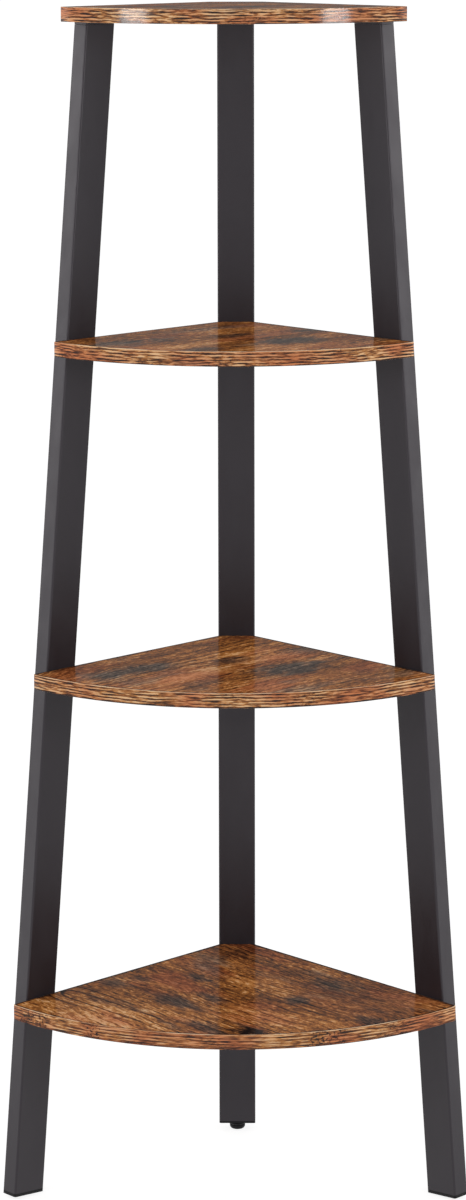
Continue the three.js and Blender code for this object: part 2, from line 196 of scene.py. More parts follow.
# Noises: turns per metre along, across and through what they cover, then detail and roughness, and for
# some the stretch that counts: the noise at its two ends, and what it becomes there
NOISES = {
    "slow_drift": ((4, 9, 1), 1.5, 0.5),
    "quick_drift": ((25, 40, 1), 2, 0.5),
    "broad": ((7, 20, 1), 2, 0.5),
    "clouds": ((30, 66, 5), 4, 0.62),
    "long_fibres": ((26, 330, 1), 3, 0.6),
    "short_fibres": ((130, 330, 9), 4, 0.7),
    "growth": ((8, 18, 3), 2, 0.5, (0.42, 0.58)),
    "flecks": ((100, 320, 11), 2, 0.6, (0.56, 0.70, 0.0, 0.2)),
    "pores": ((100, 320, 23), 2, 0.55, (0.58, 0.68, 0.0, -0.2)),
    "red": ((9, 24, 7), 3, 0.5, (0.47, 0.66, 0.0, 0.8)),
    "grey": ((9, 24, 13), 3, 0.6, (0.54, 0.70, 0.0, 0.6)),
    "slow_rags": ((16, 36, 3), 2, 0.5),
    "quick_rags": ((50, 130, 3), 5, 0.65),
    "band_sway": ((22, 1, 60), 2, 0.5),
    "band_waves": ((40, 1, 150), 2, 0.5, (0.35, 0.6)),
    "long_streaks": ((26, 1, 400), 3, 0.6),
    "short_streaks": ((62, 1, 760), 3, 0.65),
    "band_tones": ((18, 1, 60), 3, 0.6),
    "band_clusters": ((14, 1, 30), 2, 0.5, (0.5, 0.62)),
    "band_dots": ((260, 1, 420), 3, 0.6, (0.50, 0.62, 0.0, -0.35)),
    "band_red": ((13, 1, 30), 2, 0.5, (0.38, 0.62)),
    "band_grey": ((11, 7, 30), 2, 0.5, (0.55, 0.7, 0.0, 0.4)),
    "core_stain": ((34, 34, 34), 3, 0.6, (0.40, 0.60)),
    "core_gloss": ((900, 900, 900), 2, 0.5, (0.3, 0.7, 0.45, 0.6)),
    "coat_tone": ((9, 9, 3), 3, 0.5),
    "coat_peel": ((1100, 1100, 1100), 2, 0.5),
    "coat_gloss": ((60, 60, 25), 3, 0.5, (0.3, 0.7, 0.34, 0.42)),
    "plastic_tone": ((70, 70, 70), 2, 0.5),
    "plastic_grain": ((2600, 2600, 2600), 2, 0.5, (0.3, 0.7, 0.35, 0.5)),
    "plated_tone": ((120, 120, 300), 3, 0.5),
    "plated_gloss": ((400, 400, 1500), 2, 0.5, (0.3, 0.7, 0.28, 0.42)),
}

# Colours as they look on a screen: a tone, or a noise, from 0 to 1, and the colour that it takes
BROWNS = [
    (0, (32, 21, 17)), (0.2, (68, 42, 28)), (0.36, (102, 63, 37)), (0.5, (134, 82, 44)),
    (0.64, (168, 105, 52)), (0.8, (206, 142, 80)), (1, (236, 192, 144)),
]
REDS = [(0.1, (48, 25, 18)), (0.5, (136, 73, 40)), (0.9, (206, 126, 78))]
GREYS = [(0, (26, 22, 22)), (0.45, (88, 72, 62)), (1, (170, 146, 124))]
COAT_TONES = [(0.3, (30, 26, 31)), (0.7, (37, 33, 38))]
PLASTIC_TONES = [(0.3, (11, 11, 12)), (0.7, (17, 16, 18))]
BLACK_STEEL_TONES = [(0.3, (34, 34, 36)), (0.7, (48, 47, 50))]
ZINC_TONES = [(0.3, (176, 178, 182)), (0.7, (206, 208, 210))]
CORE_TONES = ((240, 206, 170), (186, 134, 94))
SIDE_CORE_TONES = ((74, 52, 40), (52, 38, 32))

# Black finishes, and the cores of the bands
DULL_GLOSS = {"Specular_IOR_Level": 0.2}
COAT_GLOSS = {"Specular_IOR_Level": 0.46, "Specular_Tint": (1.0, 0.95, 1.0, 1.0)}
COAT_BUMP = 0.4
COAT_RELIEF = 0.1 * MM
PLASTIC_BUMP = 0.2
BLACK_STEEL_METALLIC = 0.8
ZINC_METALLIC = 1.0
PLASTIC_RELIEF = 0.04 * MM

# Marks of each print: centre along and across the grain, half length and half breadth in millimetres,
# then how much each lifts the tone, greys it and reddens it
BOTTOM_MARKS = [
    (-96, -84, 30, 19, -0.1, 0.7, 0), (-84, -62, 20, 12, -0.08, 0.4, 0),
    (-42, -13, 17, 9, -0.16, 0.5, 0), (-36, -10, 4, 5, 0.16, 0, 0),
    (2, -86, 39, 16, -0.26, 0.9, 0), (17, -50, 22, 10, -0.18, 0.6, 0),
    (69, -121, 29, 12, -0.22, 0.6, 0), (36, -116, 37, 12, 0.14, 0, 0),
    (8, -176, 51, 21, 0.12, 0, 0), (-52, -160, 95, 64, 0.17, -0.4, 0),
    (20, -150, 60, 40, 0.05, -0.2, 0), (-50, -42, 42, 18, 0.02, 0, 0.9),
    (122, -96, 19, 14, -0.65, 0.4, 0), (142, -112, 19, 7, -0.3, 0.2, 0),
    (99, -46, 49, 44, 0.11, -0.2, 0), (81, 9, 15, 12, -0.22, 0.8, 0),
    (121, 7, 42, 1.6, -0.3, 0.2, 0), (82, 70, 32, 21, -0.14, 0.8, 0),
    (161, 44, 22, 5, -0.18, 0.2, 0), (188, 12, 24, 13, -0.2, 0.5, 0),
    (140, 52, 85, 62, -0.08, 0.1, 0.4), (-112, 108, 42, 44, -0.16, 0, 0.2),
    (-70, 70, 90, 70, -0.07, 0, 0.1),
]
MIDDLE_MARKS = [
    (-108, 56, 47, 20, -0.12, 0.8, 0), (-92, 58, 21, 8, -0.14, 0.3, 0),
    (-62, 45, 26, 20, -0.06, 0.6, 0), (11, 19, 25, 15, -0.3, 0.5, 0),
    (-62, -8, 60, 16, 0.18, -0.2, 0), (-88, -41, 25, 15, -0.17, 0.3, 0),
    (31, -53, 42, 25, -0.28, 1.2, 0), (110, -6, 29, 20, -0.12, 0.8, 0),
    (46, -8, 38, 8, 0.14, 0, 0), (-20, -95, 51, 27, 0.07, 0, 0.2),
    (-140, 12, 38, 18, 0.02, 0, 0.2), (70, -112, 56, 27, -0.02, 0, 0.2),
]
TOP_MARKS = [
    (-80, 20, 38, 18, -0.15, 0.7, 0), (10, -10, 25, 14, -0.28, 0.5, 0),
    (60, 30, 42, 18, 0.12, 0, 0), (-30, 60, 38, 18, -0.12, 0.6, 0),
]

# Print of each board: angle of its grain, its place in the print, how much the tone of its upper half is
# lifted (on the top shelf lowered, as painted shade against the bright reflection along its top), its marks
# and the tip of its arches in millimetres; then the contrast of its front band, and the dark clusters in it
# by place along the arc and half length in millimetres
BOARD_PRINTS = {
    "bottom_shelf": (
        -45, (0.0, 0.0, 0.1), 0.03, BOTTOM_MARKS, (-92, -146), 4.4, [(-226, 24), (99, 24), (-150, 10)]
    ),
    "middle_shelf": (45, (3.1, 0.7, 0.1), 0.08, MIDDLE_MARKS, None, 5.4, []),
    "upper_shelf": (45, (3.1, 0.7, 0.1), 0.05, MIDDLE_MARKS, None, 6.2, []),
    "top_shelf": (45, (5.3, 2.9, 0.1), -0.1, TOP_MARKS, None, 6.6, []),
}

# Room and lamps, each lamp with a twin on the other side
WHITE = (1, 1, 1, 1)
FLOOR_TONE = (0.8, 0.8, 0.8, 1)
SHADOW_TONE = (0.3, 0.3, 0.3, 1)
FLOOR_SIZE = 120
FLOOR_DROP = 0.2 * MM
FLOOR_GLOW = 0.86
AMBIENT = 0.62
KEY_LOW = Vector((1.64, -1.36, 1.05))
KEY_HIGH = Vector((1.64, -1.36, 1.35))
KEY_AIM = Vector((0, 0, 1.2))
KEY_WIDTH = 0.5
KEY_RADIANCE = 18
STRIP_LOW = Vector((0.85, -0.018, 0))
STRIP_HIGH = Vector((0.34, 0.03, 1.3))
STRIP_AIM = Vector((0, 0, 0.6))
STRIP_WIDTH = 70 * MM
STRIP_RADIANCE = 1.05
STRIP_OPENING = math.radians(100)

# Camera and picture frame, in the pixels of a 466 by 1200 picture
PICTURE_HEIGHT_PX = 1200
PICTURE_CENTRE_PX = (233, 600)
AXIS_PX = (233.7, 230)
FOCAL_PX = 3514.8
SENSOR = 36
CAMERA_PLACE = Vector((49, -3848, 1381.6)) * MM
CAMERA_PITCH = 0.0979
CAMERA_TURN = 0.0135
CAMERA_ROLL = -0.0018


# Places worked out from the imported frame
BACK_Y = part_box("back_lower_leg")[1].y
CORNER_Y = BACK_Y + math.sqrt(2) * TUBE_DEPTH
LEAN_RISE = TUBE_WIDTH / 2 * math.sin(LEG_LEAN)
LEG_FOOT = (
    LEG_REACH - TUBE_WIDTH / 2 * math.cos(LEG_LEAN) - TUBE_WIDTH * math.sin(LEG_LEAN) * math.tan(LEG_LEAN)
)


def describe_board(name):
    """Heights, inset from the walls, arc centre and radius of a board, read from its front edge band."""
    low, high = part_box(name + "_front_edge_band")
    is_top = name == "top_shelf"
    inset = 0 if is_top else TUBE_DEPTH + SEAT_GAP
    centre = BACK * (CORNER_Y - math.sqrt(2) * inset)
    radius = centre.y - low.y
    return SimpleNamespace(
        name=name, is_top=is_top, inset=inset, centre=centre, radius=radius,
        bottom=low.z, top=high.z, middle=(high.z + low.z) / 2, height=high.z - low.z,
        tip_reach=math.sqrt((radius - TIP_RADIUS) ** 2 - TIP_RADIUS ** 2),
        flat_y=BACK_Y if is_top else BACK_Y - TUBE_DEPTH - SEAT_GAP,
    )


BOARDS = [describe_board(name) for name in BOARD_PRINTS]
BOTTOM_SHELF, MIDDLE_SHELF, UPPER_SHELF, TOP_SHELF = BOARDS
PLATE_TOP = TOP_SHELF.bottom - SEAT_GAP
PLATE_BOTTOM = PLATE_TOP - PLATE_THICKNESS
TUBE_TOP = PLATE_BOTTOM - SEAT_GAP
SEAM = MIDDLE_SHELF.bottom - SEAM_DROP
PLUG_BOTTOM, PLUG_TOP = (corner.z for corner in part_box("back_leg_threaded_plug"))
PAD_LOW, PAD_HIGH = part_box("levelling_foot_pad")
PAD_RADIUS = (PAD_HIGH.x - PAD_LOW.x) / 2
FOOT_CENTRE = Vector(((PAD_LOW.x + PAD_HIGH.x) / 2, (PAD_LOW.y + PAD_HIGH.y) / 2, 0))


def shift(x, y, z):
    return Matrix.Translation((x, y, z))


def turn(axis, angle):
    return Matrix.Rotation(angle, 4, axis)


def wall_frame(side):
    """Upright frame of a leg: X along the wall, Y into the room from the leg's wall side."""
    angle = {"left": 225, "right": 135, "back": 180}[side]
    y = BACK_Y if side == "back" else CORNER_Y
    return shift(0, y, 0) @ turn("Z", math.radians(angle))


def outward(side):
    """Sign of X in a wall's frame, from the corner outwards."""
    return -1 if side == "right" else 1


def leg_line(side):
    """Where a leg's centre line starts, along X and Z of its wall's frame, and how it leans there."""
    if side == "back":
        return 0, 0, 0
    return outward(side) * LEG_FOOT, LEAN_RISE, outward(side) * LEG_LEAN


def up_tube(side, height):
    """Distance up a leg's tube at which its centre line reaches a height."""
    _, rise, lean = leg_line(side)
    return (height - rise) / math.cos(lean)


def along_wall(side, height):
    """Place of a leg's centre line at a height, along X of its wall's frame."""
    along, _, lean = leg_line(side)
    return along - up_tube(side, height) * math.sin(lean)


def tube_frame(side):
    """Frame of a leg's tube: Z up the tube, Y through its shorter width, into the room."""
    along, rise, lean = leg_line(side)
    return wall_frame(side) @ shift(along, TUBE_DEPTH / 2, rise) @ turn("Y", -lean)


# Tools of the modelling bench
def start_from(primitive, name, **options):
    """Adds a primitive with nothing else selected, and returns it under its name."""
    bpy.ops.object.select_all(action="DESELECT")
    primitive(**options)
    piece = bpy.context.object
    piece.name = piece.data.name = name
    return piece


def pick(piece):
    """Selects only this piece."""
    bpy.ops.object.select_all(action="DESELECT")
    bpy.context.view_layer.objects.active = piece
    piece.select_set(True)


def edit(piece):
    """Opens a piece in edit mode with all of it selected."""
    pick(piece)
    bpy.ops.object.mode_set(mode="EDIT")
    bpy.ops.mesh.select_all(action="SELECT")


def leave_edit():
    bpy.ops.object.mode_set(mode="OBJECT")


def close_up():
    """Turns all faces of the open mesh outwards and leaves it."""
    bpy.ops.mesh.select_all(action="SELECT")
    bpy.ops.mesh.normals_make_consistent(inside=False)
    leave_edit()


def draw_up(rise):
    """Draws the chosen faces up, or down, with new sides."""
    bpy.ops.mesh.extrude_region_move(TRANSFORM_OT_translate={"value": (0, 0, rise)})


def choose(kind, test):
    """Selects only the edges or faces of the open mesh that pass a test."""
    mesh = bmesh.from_edit_mesh(bpy.context.edit_object.data)
    bpy.ops.mesh.select_all(action="DESELECT")
    bpy.ops.mesh.select_mode(type={"edges": "EDGE", "faces": "FACE"}[kind])
    for item in getattr(mesh, kind):
        item.select_set(bool(test(item)))
    mesh.select_flush_mode()
    bmesh.update_edit_mesh(bpy.context.edit_object.data)


def points_up(face):
    return face.normal.z > NEARLY_LEVEL


def points_down(face):
    return face.normal.z < -NEARLY_LEVEL


def runs_up(edge):
    reach = edge.verts[1].co - edge.verts[0].co
    return abs(reach.z) > NEARLY_UPRIGHT * reach.length


def place(piece, matrix=Matrix.Identity(4)):
    """Moves a piece to its place and leaves its object at the origin, unturned and unscaled."""
    piece.matrix_basis = matrix @ piece.matrix_basis
    pick(piece)
    bpy.ops.object.transform_apply(location=True, rotation=True, scale=True)


def apply_modifier(piece, kind, **settings):
    modifier = piece.modifiers.new(kind.title(), kind)
    for key, value in settings.items():
        setattr(modifier, key, value)
    pick(piece)
    bpy.ops.object.modifier_apply(modifier=modifier.name)


def round_edges(piece, width, steps):
    limit = {"limit_method": "ANGLE", "angle_limit": ROUND_ABOVE}
    apply_modifier(piece, "BEVEL", width=width, segments=steps, **limit)


def cut_with(piece, cutter):
    """Cuts one piece by another, which is then thrown away."""
    apply_modifier(piece, "BOOLEAN", operation="DIFFERENCE", solver="EXACT", object=cutter)
    bpy.data.objects.remove(cutter)


def smooth(piece):
    """Smooth shading between faces that meet at a small angle, and flat faces kept flat."""
    pick(piece)
    bpy.ops.object.shade_smooth_by_angle(angle=SMOOTH_BELOW)
    apply_modifier(piece, "WEIGHTED_NORMAL", keep_sharp=True, weight=FLAT_FACE_WEIGHT)


def trim(piece, point, normal):
    """Saws off what lies beyond a plane and closes the cut."""
    edit(piece)
    bpy.ops.mesh.bisect(plane_co=point, plane_no=normal, use_fill=True, clear_outer=True)
    leave_edit()


def drill(name, radius, start, end, axis, across, sides=HOLE_SIDES):
    """Round cutter along Y or Z, from a start to an end, at a place across that axis."""
    cylinder = bpy.ops.mesh.primitive_cylinder_add
    cutter = start_from(cylinder, name, vertices=sides, radius=radius, depth=end - start)
    middle = (start + end) / 2
    if axis == "Y":
        place(cutter, shift(across[0], middle, across[1]) @ turn("X", QUARTER))
    else:
        place(cutter, shift(*across, middle))
    return cutter


def copy_piece(piece, name):
    """Copy of a modelled piece, with a mesh of its own."""
    twin = piece.copy()
    twin.data = piece.data.copy()
    twin.name = twin.data.name = name
    bpy.context.scene.collection.objects.link(twin)
    return twin


def finish_piece(piece, node, slot, where=None, materials=None, body=UNIT):
    """Smooths and places a piece, gives it its looks, and lets it stand for its CAD node."""
    smooth(piece)
    if where:
        place(piece, where)
    piece.data.materials.clear()
    for material in materials or [MATERIAL_OF_SLOT[slot]]:
        piece.data.materials.append(material)
    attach(piece, body)
    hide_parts(node)


def rounded_bar(name, width, depth, start, end, corner=TUBE_CORNER, steps=TUBE_CORNER_STEPS):
    """Upright bar around the Z axis, its long edges rounded as the tube's are unless told otherwise."""
    bar = start_from(bpy.ops.mesh.primitive_cube_add, name, size=1, location=(0, 0, (start + end) / 2))
    bar.scale = (width, depth, end - start)
    place(bar)
    edit(bar)
    choose("edges", runs_up)
    bpy.ops.mesh.bevel(offset=corner, segments=steps, affect="EDGES")
    leave_edit()
    return bar


def turned_piece(name, sides, profile):
    """Round piece around the Z axis, drawn up from its bottom disc through a list of radii and heights."""
    radius, height = profile[0]
    piece = start_from(
        bpy.ops.mesh.primitive_circle_add, name, vertices=sides, radius=radius, fill_type="NGON",
        location=(0, 0, height),
    )
    place(piece)
    edit(piece)
    for next_radius, next_height in profile[1:]:
        draw_up(next_height - height)
        grow = next_radius / radius
        bpy.ops.transform.resize(value=(grow, grow, 1), center_override=(0, 0, next_height))
        radius, height = next_radius, next_height
    close_up()
    return piece


# Shader tools
def srgb(colour):
    """Colour written as it looks on a screen, from 0 to 255, as the linear colour that shaders use."""
    shares = [value / 255 for value in colour]
    linear = [share / 12.92 if share <= 0.04045 else ((share + 0.055) / 1.055) ** 2.4 for share in shares]
    return (*linear, 1)


class Value:
    """Output of a node. Sums and products with it add the nodes that work them out."""

    def __init__(self, socket):
        self.socket = socket
        self.tree = socket.id_data

    def work(self, operation, *others, output=0):
        kind = "VectorMath" if self.socket.type == "VECTOR" else "Math"
        inputs = dict(enumerate((self, *others)))
        return Value(add_node(self.tree, kind, inputs, operation=operation).outputs[output])

    __add__ = partialmethod(work, "ADD")
    __sub__ = partialmethod(work, "SUBTRACT")
    __mul__ = partialmethod(work, "MULTIPLY")
    __truediv__ = partialmethod(work, "DIVIDE")

    def __rsub__(self, other):
        return self * -1.0 + other

    def length(self):
        return self.work("LENGTH", output="Value")


def add_node(tree, kind, inputs, **settings):
    """Adds a shader node, sets its options, and sets or links its inputs by name or number."""
    made = tree.nodes.new("ShaderNode" + kind)
    for key, value in settings.items():
        setattr(made, key, value)
    for key, value in inputs.items():
        if isinstance(value, Value):
            tree.links.new(value.socket, made.inputs[key])
        else:
            made.inputs[key].default_value = value
    return made


def output_of(tree, kind, inputs, **settings):
    """Adds a node and returns its first output."""
    return Value(add_node(tree, kind, inputs, **settings).outputs[0])


def split(vector):
    """The three parts of a vector."""
    parts = add_node(vector.tree, "SeparateXYZ", {0: vector})
    return [Value(socket) for socket in parts.outputs]


def join(**parts):
    """Vector with these parts, and 0 for the others."""
    tree = next(iter(parts.values())).tree
    return output_of(tree, "CombineXYZ", parts)


def noise(where, name):
    """Named noise, from 0 to 1."""
    scale, detail, roughness = NOISES[name][:3]
    inputs = {"Vector": where * scale, "Scale": 1, "Detail": detail, "Roughness": roughness}
    return output_of(where.tree, "TexNoise", inputs, noise_dimensions="3D")


def spread(value, low, high, to_low=0.0, to_high=1.0):
    """Stretches the part of a value from low to high over a new range, with soft ends."""
    inputs = {"Value": value, "From Min": low, "From Max": high, "To Min": to_low, "To Max": to_high}
    return output_of(value.tree, "MapRange", inputs, interpolation_type="SMOOTHSTEP")


def patches(where, name):
    """Named noise, stretched as the table says."""
    return spread(noise(where, name), *NOISES[name][3])


def ramp(value, stops):
    """Colour of a value, between the stops on either side of it."""
    made = add_node(value.tree, "ValToRGB", {"Fac": value})
    elements = made.color_ramp.elements
    while len(elements) < len(stops):
        elements.new(0.5)
    for element, (position, colour) in zip(elements, stops):
        element.position = position
        element.color = srgb(colour)
    return Value(made.outputs["Color"])


def mix(share, first, second):
    made = add_node(share.tree, "Mix", {0: share, 6: first, 7: second}, data_type="RGBA")
    return Value(made.outputs[2])


def new_group(name, vectors, numbers):
    """Starts a node group that takes vectors and numbers, and returns it with each of them."""
    group = bpy.data.node_groups.new(name, "ShaderNodeTree")
    for kind, names in (("NodeSocketVector", vectors), ("NodeSocketFloat", numbers)):
        for each in names:
            group.interface.new_socket(name=each, in_out="INPUT", socket_type=kind)
    entry = group.nodes.new("NodeGroupInput")
    return (group, *(Value(entry.outputs[each]) for each in (*vectors, *numbers)))


def close_group(group, kind="NodeSocketFloat", **results):
    """Ends a node group with what it puts out, by name."""
    for name in results:
        group.interface.new_socket(name=name, in_out="OUTPUT", socket_type=kind)
    leaving = group.nodes.new("NodeGroupOutput")
    for name, value in results.items():
        group.links.new(value.socket, leaving.inputs[name])
    return group


def use_group(group, inputs):
    """Puts a node group to use in the tree of its first input, and returns its outputs by name."""
    tree = next(iter(inputs.values())).tree
    made = add_node(tree, "Group", inputs, node_tree=group)
    return {socket.name: Value(socket) for socket in made.outputs}


def new_material(name, **sockets):
    """Material with its Principled BSDF, whose plain values are set here, and its object coordinates."""
    material = bpy.data.materials.new(name)
    material.use_nodes = True
    shader = material.node_tree.nodes["Principled BSDF"]
    for key, value in sockets.items():
        shader.inputs[key.replace("_", " ")].default_value = value
    here = add_node(material.node_tree, "TexCoord", {})
    return material, shader, Value(here.outputs["Object"])


def feed(shader, **values):
    """Links values to the inputs of a material's shader."""
    for key, value in values.items():
        value.tree.links.new(value.socket, shader.inputs[key.replace("_", " ")])


def add_bump(shader, height, strength, relief):
    inputs = {"Height": height, "Strength": strength, "Distance": relief}
    feed(shader, Normal=output_of(height.tree, "Bump", inputs))


# Wood print
def make_print_group():
    """Rustic print on grain coordinates, X along the grain and Y across it, in metres."""
    group, grain = new_group("rustic_print", ["Grain"], [])

    # Slow waves carry the whole figure to and fro across the grain
    drift = noise(grain, "slow_drift") * SLOW_DRIFT + noise(grain, "quick_drift") * QUICK_DRIFT
    wavy = grain + join(Y=drift)

    # Broad tones, soft clouds and fibres
    tone = (noise(wavy, "broad") - 0.5) * BROAD + 0.5
    tone += (noise(wavy, "clouds") - 0.5) * CLOUDS
    fibre = noise(wavy, "long_fibres") * LONG_FIBRES + noise(wavy, "short_fibres") * (1 - LONG_FIBRES)
    tone += (fibre - 0.5) * FIBRES

    # Growth lines, strong only in places
    rings = (split(wavy)[1] * GROWTH_LINES).work("PINGPONG", 0.5)
    tone += spread(rings, *GROWTH_LINE) * patches(grain, "growth")

    # Pale flecks and dark pores
    tone += patches(wavy, "flecks") + patches(wavy, "pores")
    ragged = (noise(wavy, "slow_rags") + noise(wavy, "quick_rags")) * 0.5
    return close_group(
        group, Tone=tone, Red=patches(wavy, "red"), Grey=patches(wavy, "grey"), Fibre=fibre, Ragged=ragged
    )


def make_mark_group():
    """Mark in the print: 1 in the middle of an oval, falling to 0 at its ragged rim."""
    group, grain, centre, size, ragged = new_group("print_mark", ["Grain", "Centre", "Size"], ["Ragged"])
    reach = ((grain - centre) / size).length() + (ragged - 0.5) * RAGGEDNESS
    return close_group(group, Mask=spread(reach, *MARK_RIM))


def make_figure_group():
    """Pointed arches of growth lines that open along the grain from a tip."""
    group, grain, tip, ragged = new_group("arched_figure", ["Grain", "Tip"], ["Ragged"])
    offset = grain - tip
    along, across, _ = split(offset)
    inside = join(X=along.work("MINIMUM", 0.0) * ARCH_SLIMNESS, Y=across)
    rings = ((inside.length() + ragged * ARCH_WAVE) / ARCH_SPACING).work("PINGPONG", 0.5)
    nearness = spread((offset / ARCH_REACH).length(), *ARCH_FADE)
    return close_group(group, Line=spread(rings, *ARCH_LINE) * nearness)


def make_colour_group():
    """Colour of the print from its tone and its shares of red and grey."""
    group, tone, red, grey = new_group("print_colour", [], ["Tone", "Red", "Grey"])
    colour = mix(red, ramp(tone, BROWNS), ramp(tone, REDS))
    return close_group(group, "NodeSocketColor", Color=mix(grey, colour, ramp(tone, GREYS)))


def make_band_group():
    """Print of an edge band, with painted shade along its foot: long streaks that follow it, on X along the
    band and Z up it.
    """
    group, run, contrast, low, cluster = new_group("band_print", ["Run"], ["Contrast", "Low", "Cluster"])
    lifted = run + join(Z=noise(run, "band_sway") * BAND_SWAY)
    wave = (split(lifted)[2] * (4 * QUARTER / BAND_LINE)).work("SINE") * patches(run, "band_waves")
    streaks = noise(lifted, "long_streaks") * LONG_STREAKS
    streaks += noise(lifted, "short_streaks") * (1 - LONG_STREAKS)
    tone = (wave * BAND_LINES + (streaks - 0.5)) * contrast
    tone += (noise(run, "band_tones") - 0.5) * BAND_TONES + BAND_MIDDLE
    tone += (cluster * BAND_CLUSTERS + patches(run, "band_clusters")) * patches(lifted, "band_dots")

    # Painted shade along the foot, and a paler line along the top: partly worn print, partly painted
    # highlight of the rounded edge
    height = split(run)[2] - low
    tone += spread(height, 0.0, BAND_FOOT_SHADE_RISE, -BAND_FOOT_SHADE, 0.0)
    from_top = (height - BOARD_THICKNESS).work("ABSOLUTE")
    tone += spread(from_top, BAND_TOP_WEAR_AND_HIGHLIGHT_REACH, BAND_TOP_WEAR_AND_HIGHLIGHT_REACH / 2, 0.0, BAND_TOP_WEAR_AND_HIGHLIGHT)
    red = patches(run, "band_red")
    return close_group(group, Tone=tone, Red=red, Grey=patches(run, "band_grey"), Streaks=streaks)


PRINT_GROUP = make_print_group()
MARK_GROUP = make_mark_group()
FIGURE_GROUP = make_figure_group()
COLOUR_GROUP = make_colour_group()
BAND_GROUP = make_band_group()


def make_board_material(board):
    """Wood print of a board, with its grain at an angle to X and its own drift through the print."""
    angle, drift, tone_lift_and_shade, marks, arches = BOARD_PRINTS[board.name][:5]
    material, shader, here = new_material(board.name + "_print", **BOARD_GLOSS)
    turned = {"Vector": here, "Rotation": (0, 0, -math.radians(angle))}
    grain = output_of(here.tree, "Mapping", turned)
    upper = split(grain)[2].work("GREATER_THAN", board.middle)
    underside = (1.0 - upper) * UNDERSIDE_DRIFT
    printed = use_group(PRINT_GROUP, {"Grain": grain + drift + underside})
    # Tone lift of the upper half; on the top shelf it is painted shade that darkens its top against the
    # reflection
    tone = upper * tone_lift_and_shade + printed["Tone"]
    red, grey, ragged = (printed[name] for name in ("Red", "Grey", "Ragged"))
    flat = grain * (1, 1, 0)
    if arches:
        along, across = arches
        tip = (along * MM, across * MM, 0)
        line = use_group(FIGURE_GROUP, {"Grain": flat, "Tip": tip, "Ragged": ragged})["Line"]
        tone += line * upper * -ARCH_DEPTH
    for along, across, length, breadth, rise, greyed, reddened in marks:
        mask = upper * use_group(MARK_GROUP, {
            "Grain": flat,
            "Centre": (along * MM, across * MM, 0),
            "Size": (length * MM, breadth * MM, 1),
            "Ragged": ragged,
        })["Mask"]
        tone += mask * rise
        if greyed:
            grey += mask * greyed
        if reddened:
            red += mask * reddened
    tone += edge_shade(here, board)
    colour = use_group(COLOUR_GROUP, {"Tone": tone, "Red": red, "Grey": grey})["Color"]
    fibre = printed["Fibre"]
    feed(shader, Base_Color=colour, Roughness=spread(fibre, *BOARD_ROUGHNESS))
    add_bump(shader, fibre, PRINT_BUMP, PRINT_RELIEF)
    return material


def edge_shade(where, board):
    """Darker print along the sawn side edges, and painted shade in the groove behind the front band."""
    here = where - board.centre
    across, depth, _ = split(here)
    from_side = (across.work("ABSOLUTE") + depth) * -math.sqrt(0.5)
    from_front = board.radius - (here * (1, 1, 0)).length()
    side = spread(from_side, BAND, EDGE_REACH, -EDGE_SHADE, 0.0)
    # Painted shade: the print darkens in the groove behind the front band
    return side + spread(from_front, BAND, RIM_REACH, -RIM_SHADE, 0.0)


def print_band(material, shader, inputs):
    """Lays the band print on a band's material."""
    printed = use_group(BAND_GROUP, inputs)
    colour = use_group(COLOUR_GROUP, {name: printed[name] for name in ("Tone", "Red", "Grey")})["Color"]
    feed(shader, Base_Color=colour, Roughness=spread(printed["Streaks"], *BAND_ROUGHNESS))
    return material


def make_band_material(board):
    """Edge band of a curved front: the print follows the arc around its centre."""
    contrast, clusters = BOARD_PRINTS[board.name][5:]
    material, shader, here = new_material(board.name + "_band_print", **BAND_GLOSS)
    across, depth, height = split(here - board.centre)
    along = across.work("ARCTAN2", depth * -1.0) * board.radius
    cluster = 0.0
    for middle, half in clusters:
        reach = (along - middle * MM).work("ABSOLUTE")
        cluster = spread(reach, half * MM, half * MM / 2).work("MAXIMUM", cluster)
    return print_band(material, shader, {
        "Run": join(X=along + board.top, Z=height),
        "Low": board.bottom,
        "Contrast": contrast,
        "Cluster": cluster,
    })


def make_straight_band_material():
    """Edge band of a straight side: the print follows the depth of the board."""
    material, shader, here = new_material("side_band", **BAND_GLOSS)
    across, depth, height = split(here)
    run = join(X=depth * math.sqrt(2) + SIDE_BAND_DRIFT + across, Z=height)
    return print_band(material, shader, {"Run": run, "Low": SIDE_BAND_LOW, "Contrast": SIDE_BAND_CONTRAST})


def make_core_material(name, tones):
    """Cut edge of a band, where its core shows past the print."""
    material, shader, here = new_material(name, **DULL_GLOSS)
    pale, stained = tones
    colour = mix(patches(here, "core_stain"), srgb(pale), srgb(stained))
    feed(shader, Base_Color=colour, Roughness=patches(here, "core_gloss"))
    return material


# Black and plated finishes
def make_powder_coat():
    """Satin black powder coat: fine orange peel and a slow change of tone."""
    material, shader, here = new_material("powder_coat", **COAT_GLOSS)
    colour = ramp(noise(here, "coat_tone"), COAT_TONES)
    feed(shader, Base_Color=colour, Roughness=patches(here, "coat_gloss"))
    add_bump(shader, noise(here, "coat_peel"), COAT_BUMP, COAT_RELIEF)
    return material


def make_black_plastic():
    """Moulded plastic: a fine grain, and a slow change of tone."""
    material, shader, here = new_material("black_plastic", **DULL_GLOSS)
    colour = ramp(noise(here, "plastic_tone"), PLASTIC_TONES)
    grain = noise(here, "plastic_grain")
    feed(shader, Base_Color=colour, Roughness=spread(grain, *NOISES["plastic_grain"][3]))
    add_bump(shader, grain, PLASTIC_BUMP, PLASTIC_RELIEF)
    return material


def make_plated_steel(name, tones, metallic):
    """Plated steel: faint turning marks in its gloss."""
    material, shader, here = new_material(name, Metallic=metallic)
    colour = ramp(noise(here, "plated_tone"), tones)
    feed(shader, Base_Color=colour, Roughness=patches(here, "plated_gloss"))
    return material


